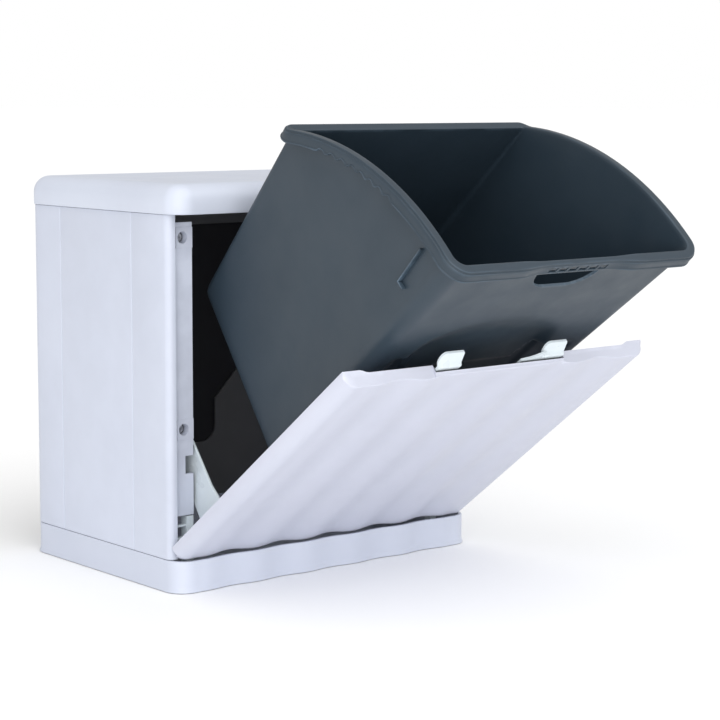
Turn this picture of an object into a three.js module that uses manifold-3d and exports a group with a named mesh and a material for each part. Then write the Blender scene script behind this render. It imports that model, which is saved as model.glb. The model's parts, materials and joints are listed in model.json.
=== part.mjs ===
// A free-standing waste sorting cabinet in moulded plastic: a base tray, two side panels, a cover and
// a back, with a front door that tilts forward on pins at its foot and carries a lift-out bin.
// Millimetres, +Z up, front towards -Y, origin in the middle of the footprint.
import * as THREE from "three";
import { mergeVertices } from "three/addons/utils/BufferGeometryUtils.js";
import Module from "manifold-3d";

const wasm = await Module();
wasm.setup();

// ---- driving dimensions ----
const cabinetWidth = 368;
const cabinetDepth = 256;
const panelTop = 350; // underside of the cover
const coverHeight = 28;
const coverEdgeRadius = 16;
const coverWall = 4;
const cornerRadius = 20; // vertical corners of the base and the cover

const baseHeight = 30;
const baseWall = 5;
const trayFloor = 5; // the base's flat floor
const footFlare = 1.2; // the base spreads at the floor
const footFlareHeight = 5;

const flutePitch = 60; // broad vertical waves on the door and the base front
const fluteDepth = 3;

const panelThickness = 3;
const panelInset = 2; // side panel behind the base's side
const panelFrontSetback = 15; // side panel's front edge behind the base's front
const panelFrontRadius = 7;
const panelBackRadius = 18; // follows the rounded back corners of the base and the cover
const panelFrontLip = 9; // depth of the solid front edge
const panelGrooveDepth = 0.8;
const panelGrooveWidth = 1.6;
const panelGrooves = [-54, 69];

const postWidth = 23.5;
const postThickness = 3;
const postSetback = 23; // post face behind the base's front
const postAboveBracket = 1;
const postTopGap = 8;
const postFlangeDepth = 22;
const postFlangeThickness = 2.5;
const postNotch = { low: 108, high: 125, depth: 9 };
const screwHeights = [150, 328];
const screwFromInnerEdge = 11;
const screwHoleRadius = 5.5;
const screwShankRadius = 2.2;
const screwHeadRadius = 4.2;
const screwHeadHeight = 2.4;
const screwPocketDepth = 9; // the heads sit deep behind the post's face
const screwPocketWall = 1.6;
const screwPocketFloor = 2;
const screwPad = { reach: 9.5, margin: 5, proud: 0.8 }; // raised field round each screw hole
const screwLength = 12;
const screwBossRadius = 6;

const backThickness = 3;
const rearSheetThickness = 2;
const backWindow = { halfWidthLow: 42, halfWidthHigh: 98, low: 89, step: 135, high: 322, corner: 18 };

const doorSideGap = 3.5; // door's edge behind the cabinet's side
const doorDepth = 14.5;
const doorWall = 3;
const doorFootGap = 0.8; // above the base
const doorHeadGap = 1.5; // below the cover
const doorEdgeRoll = 13; // the front rolls back at both sides
const doorOpenAngle = 52.4;
const headLugLength = 23; // full depth at both ends of the head flange
const headCutback = 5.5; // the flange is shallower between the lugs

const pinFromDoorFront = 9.2; // also the radius of the door's rounded foot
const pinRadius = 2.5;
const footSideGap = 0.7; // the foot's ends clear the side panels when the door is open
const pinStandOut = 2; // inner end of each hinge pin past its bracket
const pinLength = 20;
const bearingGap = 0.3;
const eyeWall = 2.2;
const bracketSideGap = 0.5; // beside the bin's rim
const bracketThickness = 8;
const bracketAboveBase = 38;
const bracketColumnDepth = 9;
const bracketFins = 3;
const finLength = 12;
const finThickness = 2;
const lugThickness = 4;
const lugReach = 6;

const cheekSideGap = 2.5; // beside the bin's wall
const cheekThickness = 2.5;
const cheekDepth = 92; // behind the door's back
const cheekHeight = 32;
const cheekAboveHinge = 12;
const cheekFootDrop = 4; // the lower edge falls towards the door
const cheekRise = 7; // the top edge climbs towards the door
const cheekTipRadius = 10;
const cheekFootGap = 1;

const tabWidth = 28;
const tabCentres = [-67, 58];
const tabRise = 16;
const tabThickness = 2.2;
const tabStep = { low: 3, high: 5.5, back: 3 }; // the lip steps back above the door's head
const tabFoot = 14; // part that stands inside the door
const tabGussetLength = 24;

const rimSideGap = 0.7; // between the rim and the posts
const rimOverhang = 7;
const rimWall = 2.2;
const rimSkirt = 12;
const rimLipGap = 7.5; // under the cover's front edge as the bin swings past
const binWall = 2.5;
const binFloorThickness = 3;
const binFrontGap = 12.5; // front wall behind the door's back
const binBackGap = 34.4; // behind the bin's floor, in front of the back frame
const binBackRake = 40; // the back wall leans out over the bin's height
const binFootTaper = 16; // each side draws in from the rim to the floor
const binFrontCorner = { foot: 20, rim: 13 };
const binBackCorner = { foot: 10, rim: 5 };
const binFootRound = 12;
const binFloorRise = 9; // the floor climbs towards the back
const binFootHeight = 10;
const binRaise = 138; // the bin stands lifted along the door
const slotHalfWidth = 37;
const slotHeight = 26;
const slotBelowRim = 17;
const slotCorner = 9;
const ventCount = 6;
const ventSize = 7;
const ventPitch = 11.5;
const ventGap = 2.5;

const gap = 0.3; // between pieces that touch

// ---- derived places ----
const halfWidth = cabinetWidth / 2;
const front = -cabinetDepth / 2;
const back = cabinetDepth / 2;
const panelOuter = halfWidth - panelInset;
const panelInner = panelOuter - panelThickness;
const panelFront = front + panelFrontSetback;
const postFace = front + postSetback;
const postBack = postFace + postThickness;
const postOuterEdge = panelOuter - panelFrontLip - gap;
const postInnerEdge = postOuterEdge - postWidth; // half of the clear opening between the posts
const screwX = postInnerEdge + screwFromInnerEdge;
const pocketFloor = postFace + screwPocketDepth;
const bossFront = pocketFloor + screwPocketFloor + gap;
const backFace = back - gap - rearSheetThickness - gap - backThickness;
const doorWidth = cabinetWidth - 2 * doorSideGap;
const doorBack = front + doorDepth;
const skinBack = front + doorWall + fluteDepth; // behind the door's skin at its deepest wave
const doorFoot = baseHeight + doorFootGap;
const doorHead = panelTop - doorHeadGap;
const hinge = { y: front + pinFromDoorFront, z: doorFoot + pinFromDoorFront };
const eyeRadius = pinRadius + bearingGap + eyeWall;
const rimRadius = Math.hypot(front - hinge.y, panelTop - hinge.z) - rimLipGap;
const rimHalfWidth = postInnerEdge - rimSideGap;
const binFront = doorBack + binFrontGap;
const binTopHalf = rimHalfWidth - rimOverhang;
const binFootDepth = backFace - binBackGap - binFront;
const bracketInner = rimHalfWidth + bracketSideGap;
const bracketTop = baseHeight + bracketAboveBase;
const pinEnd = bracketInner - pinStandOut;
const cheekHalfGap = binTopHalf + cheekSideGap; // inner face of each cheek, from the middle
const cheekFoot = doorFoot + pinFromDoorFront + cheekAboveHinge;
const cheekTop = cheekFoot + cheekHeight;
const backHalf = panelOuter - panelBackRadius - gap; // half width of the back frame and the rear sheet
const rad = THREE.MathUtils.degToRad;

// ---- solids ----
function toSolid(geometry) {
  for (const name of ["normal", "uv"]) geometry.deleteAttribute(name);
  const merged = mergeVertices(geometry, 1e-4);
  return new wasm.Manifold(
    new wasm.Mesh({
      numProp: 3,
      vertProperties: new Float32Array(merged.attributes.position.array),
      triVerts: new Uint32Array(merged.index.array),
    }),
  );
}

function toGeometry(solid) {
  const made = solid.getMesh();
  const geometry = new THREE.BufferGeometry();
  geometry.setAttribute("position", new THREE.BufferAttribute(made.vertProperties, 3));
  geometry.setIndex(new THREE.BufferAttribute(made.triVerts, 1));
  const flat = geometry.toNonIndexed();
  flat.computeVertexNormals();
  return flat;
}

function block([x0, x1], [y0, y1], [z0, z1]) {
  const geometry = new THREE.BoxGeometry(x1 - x0, y1 - y0, z1 - z0);
  geometry.translate((x0 + x1) / 2, (y0 + y1) / 2, (z0 + z1) / 2);
  return toSolid(geometry);
}

// A flat outline pushed along an axis: "z" takes points as x, y and "x" takes them as y, z and
// "y" takes them as x, z.
function prism(points, axis, from, to) {
  const shape = new THREE.Shape(points.map(([a, b]) => new THREE.Vector2(a, b)));
  const geometry = new THREE.ExtrudeGeometry(shape, { depth: to - from, bevelEnabled: false });
  geometry.translate(0, 0, from);
  const [x, y, z] = [0, 1, 2].map((i) => new THREE.Vector3().setComponent(i, 1));
  const turn = new THREE.Matrix4();
  if (axis === "x") turn.makeBasis(y, z, x);
  if (axis === "y") turn.makeBasis(x, z, y.negate());
  geometry.applyMatrix4(turn);
  if (axis === "y") geometry.translate(0, from + to, 0);
  return toSolid(geometry);
}

function rod(radius, [from, to], at, axis = "x", sides = 20) {
  const geometry = new THREE.CylinderGeometry(radius, radius, to - from, sides);
  geometry.translate(0, (from + to) / 2, 0);
  if (axis === "x") geometry.rotateZ(-Math.PI / 2);
  if (axis === "y") geometry.translate(at[0], 0, at[1]);
  if (axis === "x") geometry.translate(0, at[0], at[1]);
  return toSolid(geometry);
}

// Rings of equally many points, joined in order and closed by a fan at each end.
function loft(rings) {
  const count = rings[0].length;
  const points = rings.flat();
  const index = [];
  const at = (ring, i) => ring * count + (i % count);
  for (let ring = 0; ring < rings.length - 1; ring += 1) {
    for (let i = 0; i < count; i += 1) {
      index.push(at(ring, i), at(ring, i + 1), at(ring + 1, i + 1));
      index.push(at(ring, i), at(ring + 1, i + 1), at(ring + 1, i));
    }
  }
  for (const [ring, flip] of [[0, true], [rings.length - 1, false]]) {
    const middle = rings[ring].reduce((sum, p) => sum.map((v, k) => v + p[k] / count), [0, 0, 0]);
    points.push(middle);
    for (let i = 0; i < count; i += 1) {
      const [a, b] = [at(ring, i), at(ring, i + 1)];
      index.push(points.length - 1, flip ? b : a, flip ? a : b);
    }
  }
  const geometry = new THREE.BufferGeometry();
  geometry.setAttribute("position", new THREE.BufferAttribute(new Float32Array(points.flat()), 3));
  geometry.setIndex(index);
  const solid = toSolid(geometry);
  if (solid.volume() > 0) return solid;
  geometry.setIndex(index.reverse());
  return toSolid(geometry);
}

function arc(cx, cy, radius, fromDegrees, toDegrees, steps) {
  return Array.from({ length: steps + 1 }, (_, i) => {
    const angle = rad(fromDegrees + ((toDegrees - fromDegrees) * i) / steps);
    return [cx + radius * Math.cos(angle), cy + radius * Math.sin(angle)];
  });
}

function roundedRectangle([x0, x1], [y0, y1], radius, steps = 4) {
  const r = Math.max(radius, 0.5);
  return [
    ...arc(x1 - r, y1 - r, r, 0, 90, steps),
    ...arc(x0 + r, y1 - r, r, 90, 180, steps),
    ...arc(x0 + r, y0 + r, r, 180, 270, steps),
    ...arc(x1 - r, y0 + r, r, 270, 360, steps),
  ];
}

const fluteAt = (x) => (fluteDepth * (1 + Math.cos((2 * Math.PI * x) / flutePitch))) / 2;

// ---- base ----
function baseOutline(inset, fluted = true) {
  const r = cornerRadius - inset;
  const x = halfWidth - inset;
  const straight = halfWidth - cornerRadius;
  const steps = Math.round((2 * straight) / (flutePitch / 6));
  const waves = Array.from({ length: steps - 1 }, (_, i) => {
    const px = -straight + (2 * straight * (i + 1)) / steps;
    const fade = Math.min(1, (straight - Math.abs(px)) / (flutePitch / 6));
    return [px, front + inset + (fluted ? fade * fluteAt(px) : 0)];
  });
  return [
    ...arc(x - r, back - inset - r, r, 0, 90, 4),
    ...arc(r - x, back - inset - r, r, 90, 180, 4),
    ...arc(r - x, front + inset + r, r, 180, 270, 5),
    ...waves,
    ...arc(x - r, front + inset + r, r, 270, 360, 5),
  ];
}

const raised = (outline, z) => outline.map(([x, y]) => [x, y, z]);

function base() {
  const outside = loft([
    raised(baseOutline(0), 0),
    raised(baseOutline(footFlare / 3), footFlareHeight / 2),
    raised(baseOutline(footFlare), footFlareHeight),
    raised(baseOutline(footFlare), baseHeight),
  ]);
  const tray = loft([
    raised(baseOutline(baseWall), trayFloor),
    raised(baseOutline(baseWall), baseHeight + 1),
  ]);
  return outside.subtract(tray);
}

// ---- cover ----
function coverShell(inset, bottom, top) {
  const r = coverEdgeRadius - inset;
  const bends = [0, 30, 60, 90].map((degrees) => {
    const angle = rad(degrees);
    return raised(baseOutline(inset + r * (1 - Math.cos(angle)), false), top - r + r * Math.sin(angle));
  });
  return loft([raised(baseOutline(inset, false), bottom), ...bends]);
}

function cover() {
  const top = panelTop + coverHeight;
  const outside = coverShell(0, panelTop, top);
  const inside = coverShell(coverWall, panelTop - 1, top - coverWall);
  return outside.subtract(inside);
}

// ---- side panel, drawn for the right side ----
function sidePanel() {
  const r = panelFrontRadius;
  const lipInner = panelOuter - panelFrontLip;
  const rear = panelBackRadius;
  const outline = [
    ...arc(panelOuter - rear, back - gap - rear, rear, 0, 90, 6),
    ...arc(panelOuter - rear, back - gap - rear, rear - panelThickness, 90, 0, 6),
    [panelInner, panelFront + panelFrontLip],
    [lipInner, panelFront + panelFrontLip],
    [lipInner, panelFront],
    ...arc(panelOuter - r, panelFront + r, r, 270, 360, 6),
  ];
  let panel = prism(outline.reverse(), "z", baseHeight + gap, panelTop - gap);
  for (const y of panelGrooves) {
    const groove = [
      [panelOuter + 1, y - panelGrooveWidth],
      [panelOuter + 1, y + panelGrooveWidth],
      [panelOuter - panelGrooveDepth, y],
    ];
    panel = panel.subtract(prism(groove, "z", baseHeight, panelTop));
  }
  for (const z of screwHeights) {
    const span = [bossFront, bossFront + screwLength];
    const arm = block([screwX, panelInner + 1], span, [z - screwBossRadius, z + screwBossRadius]);
    const boss = rod(screwBossRadius, span, [screwX, z], "y");
    const hole = rod(screwShankRadius + gap, [bossFront - 1, span[1] + 1], [screwX, z], "y", 12);
    panel = panel.add(arm).add(boss).subtract(hole);
  }
  return panel;
}

// ---- post and its screws, drawn for the right side ----
function post() {
  const top = panelTop - postTopGap;
  const bottom = bracketTop + postAboveBracket;
  const strip = block([postInnerEdge, postOuterEdge], [postFace, postBack], [bottom, top]);
  const flange = block(
    [postInnerEdge, postInnerEdge + postFlangeThickness],
    [postBack - 0.5, postBack + postFlangeDepth],
    [postNotch.high + 6, screwHeights[1] - 2 * screwBossRadius],
  );
  const notch = block(
    [postInnerEdge - 1, postInnerEdge + postNotch.depth],
    [postFace - 1, postBack + 1],
    [postNotch.low, postNotch.high],
  );
  let made = strip.add(flange).subtract(notch);
  const { reach, margin, proud } = screwPad;
  for (const z of screwHeights) {
    const pad = block(
      [postInnerEdge, postOuterEdge - margin],
      [postFace - proud, postBack],
      [z - reach, Math.min(z + reach, top)],
    );
    const pocket = rod(
      screwHoleRadius + screwPocketWall,
      [postBack - 0.5, pocketFloor + screwPocketFloor],
      [screwX, z],
      "y",
    );
    const hole = rod(screwHoleRadius, [postFace - 2, pocketFloor], [screwX, z], "y");
    const shank = rod(screwShankRadius + gap, [postFace, bossFront], [screwX, z], "y", 12);
    made = made.add(pad).add(pocket).subtract(hole).subtract(shank);
  }
  return made;
}

function screw(z) {
  const seat = pocketFloor - gap;
  const head = rod(screwHeadRadius, [seat - screwHeadHeight, seat], [screwX, z], "y", 16);
  const shank = rod(screwShankRadius, [seat - 0.5, seat + screwLength], [screwX, z], "y", 10);
  const slotCut = block(
    [screwX - screwHeadRadius + 1, screwX + screwHeadRadius - 1],
    [seat - screwHeadHeight - 1, seat - screwHeadHeight / 2],
    [z - 0.5, z + 0.5],
  );
  return head.add(shank).subtract(slotCut);
}

// ---- back ----
function windowOutline() {
  const { halfWidthLow: a, halfWidthHigh: b, low, step, high, corner: r } = backWindow;
  return [
    ...arc(a - r, low + r, r, 270, 360, 4),
    [a, step],
    [b, step + (b - a)],
    ...arc(b - r, high - r, r, 0, 90, 4),
    ...arc(r - b, high - r, r, 90, 180, 4),
    [-b, step + (b - a)],
    [-a, step],
    ...arc(r - a, low + r, r, 180, 270, 4),
  ];
}

function backFrame() {
  const plate = block(
    [-backHalf, backHalf],
    [backFace, backFace + backThickness],
    [baseHeight + gap, panelTop - gap],
  );
  return plate.subtract(prism(windowOutline(), "y", backFace - 1, backFace + backThickness + 1));
}

function rearSheet() {
  return block(
    [-backHalf, backHalf],
    [back - gap - rearSheetThickness, back - gap],
    [baseHeight + gap, panelTop - gap],
  );
}

// ---- hinge bracket and pin, drawn for the right side ----
const bracketFront = postFace + 0.5;

function hingeBracket() {
  const outer = bracketInner + bracketThickness;
  const column = block(
    [bracketInner, outer],
    [bracketFront, bracketFront + bracketColumnDepth],
    [trayFloor + gap, bracketTop],
  );
  const eye = rod(eyeRadius, [bracketInner, outer], [hinge.y, hinge.z], "x");
  const arm = block(
    [bracketInner, outer],
    [hinge.y, bracketFront + 1],
    [hinge.z - 3, hinge.z + 3],
  );
  let made = column.add(eye).add(arm);
  for (let i = 0; i < bracketFins; i += 1) {
    const z = bracketTop - 8 - i * 12;
    made = made.add(
      block([outer - 1, outer + finLength], [bracketFront + 1, bracketFront + 7], [z - finThickness, z]),
    );
  }
  return made.subtract(
    rod(pinRadius + bearingGap, [bracketInner - 1, outer + 1], [hinge.y, hinge.z], "x"),
  );
}

function hingePin() {
  return rod(pinRadius, [pinEnd, pinEnd + pinLength], [hinge.y, hinge.z], "x");
}

// ---- door ----
// The front surface at x, with both edges rolled back; inset gives the inner surface.
function doorFrontAt(x, inset) {
  const edge = doorWidth / 2 - inset;
  const roll = doorEdgeRoll - inset;
  const into = Math.max(0, Math.abs(x) - (edge - roll));
  const rolled = roll - Math.sqrt(Math.max(0, roll * roll - into * into));
  const fade = Math.min(1, Math.max(0, (edge - roll - Math.abs(x)) / (flutePitch / 4)));
  return front + inset + fade * fluteAt(x) + rolled;
}

function doorSection(x, inset, backY) {
  const y = doorFrontAt(x, inset);
  const r = pinFromDoorFront - inset;
  const foot = doorFoot + inset;
  const end = Math.min(y + r, backY - 0.5);
  const squeeze = (end - y) / r;
  const bend = arc(0, 0, r, 180, 270, 4).map(([a, b]) => [y + (a + r) * squeeze, foot + r + b]);
  return [...bend, [backY, foot], [backY, doorHead - inset], [y, doorHead - inset]].map(
    ([py, pz]) => [x, py, pz],
  );
}

function doorBlock(inset, backY) {
  const edge = doorWidth / 2 - inset;
  const roll = doorEdgeRoll - inset;
  const bends = [90, 75, 60, 45, 30, 15].map((degrees) => edge - roll + roll * Math.sin(rad(degrees)));
  const straight = edge - roll;
  const steps = Math.round((2 * straight) / (flutePitch / 8));
  const middle = Array.from({ length: steps + 1 }, (_, i) => -straight + (2 * straight * i) / steps);
  const stations = [...bends.map((x) => -x), ...middle, ...bends.reverse()];
  return loft(stations.map((x) => doorSection(x, inset, backY)));
}

// What the foot loses at each end, so that its lower back corner swings past the side panel.
function footRelief() {
  const turn = rad(doorOpenAngle);
  const room = panelFront - footSideGap - hinge.y;
  const drop = (room - (doorDepth - pinFromDoorFront) * Math.cos(turn)) / Math.sin(turn);
  const reach = pinFromDoorFront * Math.sin(turn - Math.asin(room / pinFromDoorFront));
  return { drop, reach };
}

function doorPanel() {
  let door = doorBlock(0, doorBack).subtract(doorBlock(doorWall, doorBack + 1));
  const headSlice = [doorHead - doorWall - 1, doorHead + 1];
  const lugStart = doorWidth / 2 - headLugLength;
  door = door.subtract(block([-lugStart, lugStart], [doorBack - headCutback, doorBack + 1], headSlice));
  // finger pull: only the skin is left from one snap tab to the other
  door = door.subtract(
    block(
      [tabCentres[0] - tabWidth / 2 - 1, tabCentres[1] + tabWidth / 2 + 1],
      [skinBack + 0.1, doorBack + 1],
      headSlice,
    ),
  );
  const { drop, reach } = footRelief();
  for (const side of [-1, 1]) {
    const relief = [panelOuter - panelFrontLip - 2 * gap, doorWidth].map((x) => side * x);
    door = door.subtract(
      block(
        relief.sort((a, b) => a - b),
        [hinge.y - reach, doorBack + 1],
        [doorFoot - 1, hinge.z - drop],
      ),
    );
    // slot in the foot for the hinge eye, and the lug that holds the pin
    const slotX = [bracketInner - 1.5, bracketInner + bracketThickness + 1.5];
    door = door.subtract(
      block(
        slotX.map((x) => side * x).sort((a, b) => a - b),
        [hinge.y - eyeRadius - gap, doorBack + 1],
        [doorFoot - 1, hinge.z + 9],
      ),
    );
    const lugX = [slotX[1] + 0.5, slotX[1] + 0.5 + lugThickness];
    const span = lugX.map((x) => side * x).sort((a, b) => a - b);
    const pinLug = block(
      span,
      [front + doorWall + 0.5, doorBack],
      [doorFoot + 1, hinge.z + pinRadius + lugReach],
    );
    const bore = rod(
      pinRadius + gap,
      [span[0] - 1, span[1] + 1],
      [hinge.y, hinge.z],
      "x",
    );
    door = door.add(pinLug).subtract(bore);
  }
  return door;
}

// ---- door cheek, drawn for the right side: it keeps the bin between the posts ----
function doorCheek() {
  const y0 = doorBack + cheekFootGap;
  const tip = y0 + cheekDepth;
  const r = cheekTipRadius;
  const outline = [
    [y0, cheekFoot - cheekFootDrop],
    ...arc(tip - r, cheekFoot + r, r, 270, 360, 4),
    ...arc(tip - r, cheekTop - r, r, 0, 90, 4),
    [y0 + cheekDepth * 0.38, cheekTop],
    [y0, cheekTop + cheekRise],
  ];
  const plate = prism(outline, "x", cheekHalfGap, cheekHalfGap + cheekThickness);
  // the foot plate lies against the inside of the door's skin
  const stem = block(
    [cheekHalfGap, cheekHalfGap + cheekThickness],
    [skinBack + gap, y0 + 0.5],
    [cheekFoot, cheekTop],
  );
  return plate.add(stem);
}

// ---- snap tab: a bent lip that stands inside the head of the door ----
function snapTab(index) {
  const x = tabCentres[index];
  const y = skinBack + gap;
  const section = [
    [y, doorHead - tabFoot],
    [y + tabThickness, doorHead - tabFoot],
    [y + tabThickness, doorHead + tabStep.low],
    [y + tabThickness + tabStep.back, doorHead + tabStep.high],
    [y + tabThickness + tabStep.back, doorHead + tabRise - 1],
    [y + tabThickness + tabStep.back - 1, doorHead + tabRise],
    [y + tabStep.back, doorHead + tabRise],
    [y + tabStep.back, doorHead + tabStep.high + 1],
    [y, doorHead + tabStep.low + 1],
  ];
  let tab = prism(section, "x", x - tabWidth / 2, x + tabWidth / 2);
  if (index === 1) {
    const left = x - tabWidth / 2;
    const gusset = [
      [left + 0.5, doorHead - tabFoot / 2],
      [left + 0.5, doorHead + tabRise - 5],
      [left - tabGussetLength * 0.45, doorHead + 4],
      [left - tabGussetLength, doorHead + 0.5],
      [left - tabGussetLength, doorHead - tabFoot / 2],
    ];
    tab = tab.add(prism(gusset, "y", y, y + tabThickness));
  }
  return tab;
}

// ---- bin, drawn seated on the closed door ----
const binDepthAt = (share) => binFront + binFootDepth + binBackRake * share;

const rimLevel = (y) => hinge.z + Math.sqrt(rimRadius ** 2 - (y - hinge.y) ** 2);

// Plan of the bin at a share of its height. The sides draw in with the depth below the rim's arc.
function binOutline(share, level, grow) {
  const [y0, y1] = [binFront - grow, binDepthAt(share) + grow];
  const radius = ({ foot, rim }) => Math.max(0.5, foot + (rim - foot) * Math.min(1, share) + grow);
  const [rf, rb] = [radius(binFrontCorner), radius(binBackCorner)];
  const x = binTopHalf + grow;
  const run = (sign) =>
    Array.from({ length: 9 }, (_, i) => {
      const t = (i + 1) / 10;
      return [sign * x, sign > 0 ? y0 + rf + (y1 - y0 - rf - rb) * t : y1 - rb - (y1 - y0 - rf - rb) * t];
    });
  const outline = [
    ...run(1),
    ...arc(x - rb, y1 - rb, rb, 0, 90, 4),
    ...arc(rb - x, y1 - rb, rb, 90, 180, 4),
    ...run(-1),
    ...arc(rf - x, y0 + rf, rf, 180, 270, 4),
    ...arc(x - rf, y0 + rf, rf, 270, 360, 4),
  ];
  return outline.map(([px, py]) => {
    const reach = Math.min(1.2, Math.max(0, (level - binFootHeight) / (rimLevel(py) - binFootHeight)));
    return [(px * (x - binFootTaper * (1 - Math.min(1, reach)))) / x, py];
  });
}

function binBlock(offset, from, to) {
  const height = panelTop - binFootHeight;
  const levels = [0, 0.2, 0.45, 1].map((step) => (step * binFootRound) / height);
  const shares = [...levels, 0.2, 0.35, 0.5, 0.6, 0.7, 0.8, 0.9, 1, 1.08];
  return loft(
    shares.map((share) => {
      const depth = share * height;
      const foot = Math.max(0, 1 - depth / binFootRound);
      const grow = offset - binFootRound * 0.6 * foot * foot;
      const level = from + share * (to - from);
      return binOutline(share, binFootHeight + depth, grow).map(([x, y]) => {
        const slope = (1 - share) * binFloorRise * ((y - binFront) / binFootDepth);
        return [x, y, level + Math.max(0, slope)];
      });
    }),
  );
}

function bin() {
  const sweep = (radius) => rod(radius, [-2 * halfWidth, 2 * halfWidth], [hinge.y, hinge.z], "x", 120);
  const outside = binBlock(0, binFootHeight, panelTop).intersect(sweep(rimRadius));
  const inside = binBlock(-binWall, binFootHeight + binFloorThickness, panelTop);
  const rim = binBlock(rimOverhang, binFootHeight, panelTop).intersect(
    sweep(rimRadius).subtract(sweep(rimRadius - rimSkirt)),
  );
  const underRim = binBlock(rimOverhang - rimWall, binFootHeight, panelTop).intersect(
    sweep(rimRadius - rimWall),
  );
  let made = rim.subtract(underRim).add(outside).subtract(inside);
  const slotTop = panelTop - rimLipGap - slotBelowRim;
  const slotShape = roundedRectangle(
    [-slotHalfWidth, slotHalfWidth],
    [slotTop - slotHeight, slotTop],
    slotCorner,
  );
  made = made.subtract(prism(slotShape, "y", binFront - rimOverhang - 3, binFront + 10));
  for (let i = 0; i < ventCount; i += 1) {
    const x = (i - (ventCount - 1) / 2) * ventPitch;
    const z = slotTop + ventGap;
    made = made.subtract(
      block([x - ventSize / 2, x + ventSize / 2], [binFront - 4, binFront + 10], [z, z + ventSize / 2]),
    );
  }
  return made;
}

// ---- assembly ----
const finishes = {
  shell: { color: 0xd4d8e4, roughness: 0.45, metalness: 0 },
  door: { color: 0xced2e0, roughness: 0.42, metalness: 0 },
  clip: { color: 0xd8e2e6, roughness: 0.35, metalness: 0 },
  bin: { color: 0x47515b, roughness: 0.5, metalness: 0 },
  rear: { color: 0x24262a, roughness: 0.7, metalness: 0 },
  screw: { color: 0x5d6268, roughness: 0.35, metalness: 0.9 },
};

function mesh(name, solid, finish) {
  const made = new THREE.Mesh(toGeometry(solid), new THREE.MeshStandardMaterial(finishes[finish]));
  made.name = name;
  return made;
}

// Both sides of a piece that is drawn for the right side.
function pair(name, solid, finish) {
  return [
    mesh(name + "_right", solid, finish),
    mesh(name + "_left", solid.mirror([1, 0, 0]), finish),
  ];
}

const cabinet = new THREE.Group();
cabinet.add(
  mesh("base", base(), "shell"),
  mesh("cover", cover(), "shell"),
  ...pair("side_panel", sidePanel(), "shell"),
  ...pair("front_post", post(), "shell"),
  ...pair("lower_screw", screw(screwHeights[0]), "screw"),
  ...pair("upper_screw", screw(screwHeights[1]), "screw"),
  ...pair("hinge_bracket", hingeBracket(), "shell"),
  mesh("back_frame", backFrame(), "shell"),
  mesh("rear_sheet", rearSheet(), "rear"),
);

// The door's group turns about the hinge pins, and the bin stands lifted inside it.
const door = new THREE.Group();
door.add(
  mesh("door_panel", doorPanel(), "door"),
  ...pair("door_cheek", doorCheek(), "door"),
  ...pair("hinge_pin", hingePin(), "screw"),
  mesh("snap_tab_left", snapTab(0), "clip"),
  mesh("snap_tab_right", snapTab(1), "clip"),
);
const carried = new THREE.Group();
carried.add(mesh("bin", bin(), "bin"));
carried.position.z = binRaise;
door.add(carried);
door.position.set(0, -hinge.y, -hinge.z);

const tilt = new THREE.Group();
tilt.add(door);
tilt.rotation.x = rad(doorOpenAngle);
tilt.position.set(0, hinge.y, hinge.z);

const group = new THREE.Group();
group.add(cabinet, tilt);

export default group;
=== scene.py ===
import json
import math
import bmesh
import bpy
from mathutils import Matrix, Vector


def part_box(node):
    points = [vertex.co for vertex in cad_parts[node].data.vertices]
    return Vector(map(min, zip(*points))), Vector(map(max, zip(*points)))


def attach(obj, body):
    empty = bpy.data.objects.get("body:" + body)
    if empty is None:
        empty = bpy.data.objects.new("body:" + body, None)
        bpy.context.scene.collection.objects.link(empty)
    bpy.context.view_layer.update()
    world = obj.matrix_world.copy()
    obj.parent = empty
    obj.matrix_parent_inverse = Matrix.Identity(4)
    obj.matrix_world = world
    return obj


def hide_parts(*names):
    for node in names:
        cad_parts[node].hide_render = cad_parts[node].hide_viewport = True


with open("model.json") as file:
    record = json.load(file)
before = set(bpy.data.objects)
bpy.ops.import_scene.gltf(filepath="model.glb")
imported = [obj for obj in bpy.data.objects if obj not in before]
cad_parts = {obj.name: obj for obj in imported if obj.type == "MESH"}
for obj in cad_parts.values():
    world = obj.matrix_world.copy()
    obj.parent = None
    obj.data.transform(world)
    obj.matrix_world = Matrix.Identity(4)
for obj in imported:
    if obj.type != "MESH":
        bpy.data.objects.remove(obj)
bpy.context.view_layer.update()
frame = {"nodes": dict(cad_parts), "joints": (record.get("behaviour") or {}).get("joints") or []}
print("frame loaded")

# every shape below is drawn in millimetres and turned into metres when its piece is made
metre = 0.001

# camera
cameraSet = {"place": (-1.2507, -1.6546, 0.4594), "turn": -40.08, "down": 7.36, "roll": 0.19, "lens": 103.2}


def makeCamera(s):
    data = bpy.data.cameras.new("studioCamera")
    data.lens = s["lens"]
    data.sensor_width = 36
    data.clip_end = 200
    camera = bpy.data.objects.new("studioCamera", data)
    turn = Matrix.Rotation(math.radians(s["turn"]), 4, "Z")
    nod = Matrix.Rotation(math.radians(90 - s["down"]), 4, "X")
    roll = Matrix.Rotation(math.radians(s["roll"]), 4, "Z")
    camera.matrix_world = Matrix.Translation(s["place"]) @ turn @ nod @ roll
    bpy.context.scene.collection.objects.link(camera)
    bpy.context.scene.camera = camera


makeCamera(cameraSet)
print("camera placed")

# places taken from the frame


def boxOf(node):
    low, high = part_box(node)
    return low / metre, high / metre


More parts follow.
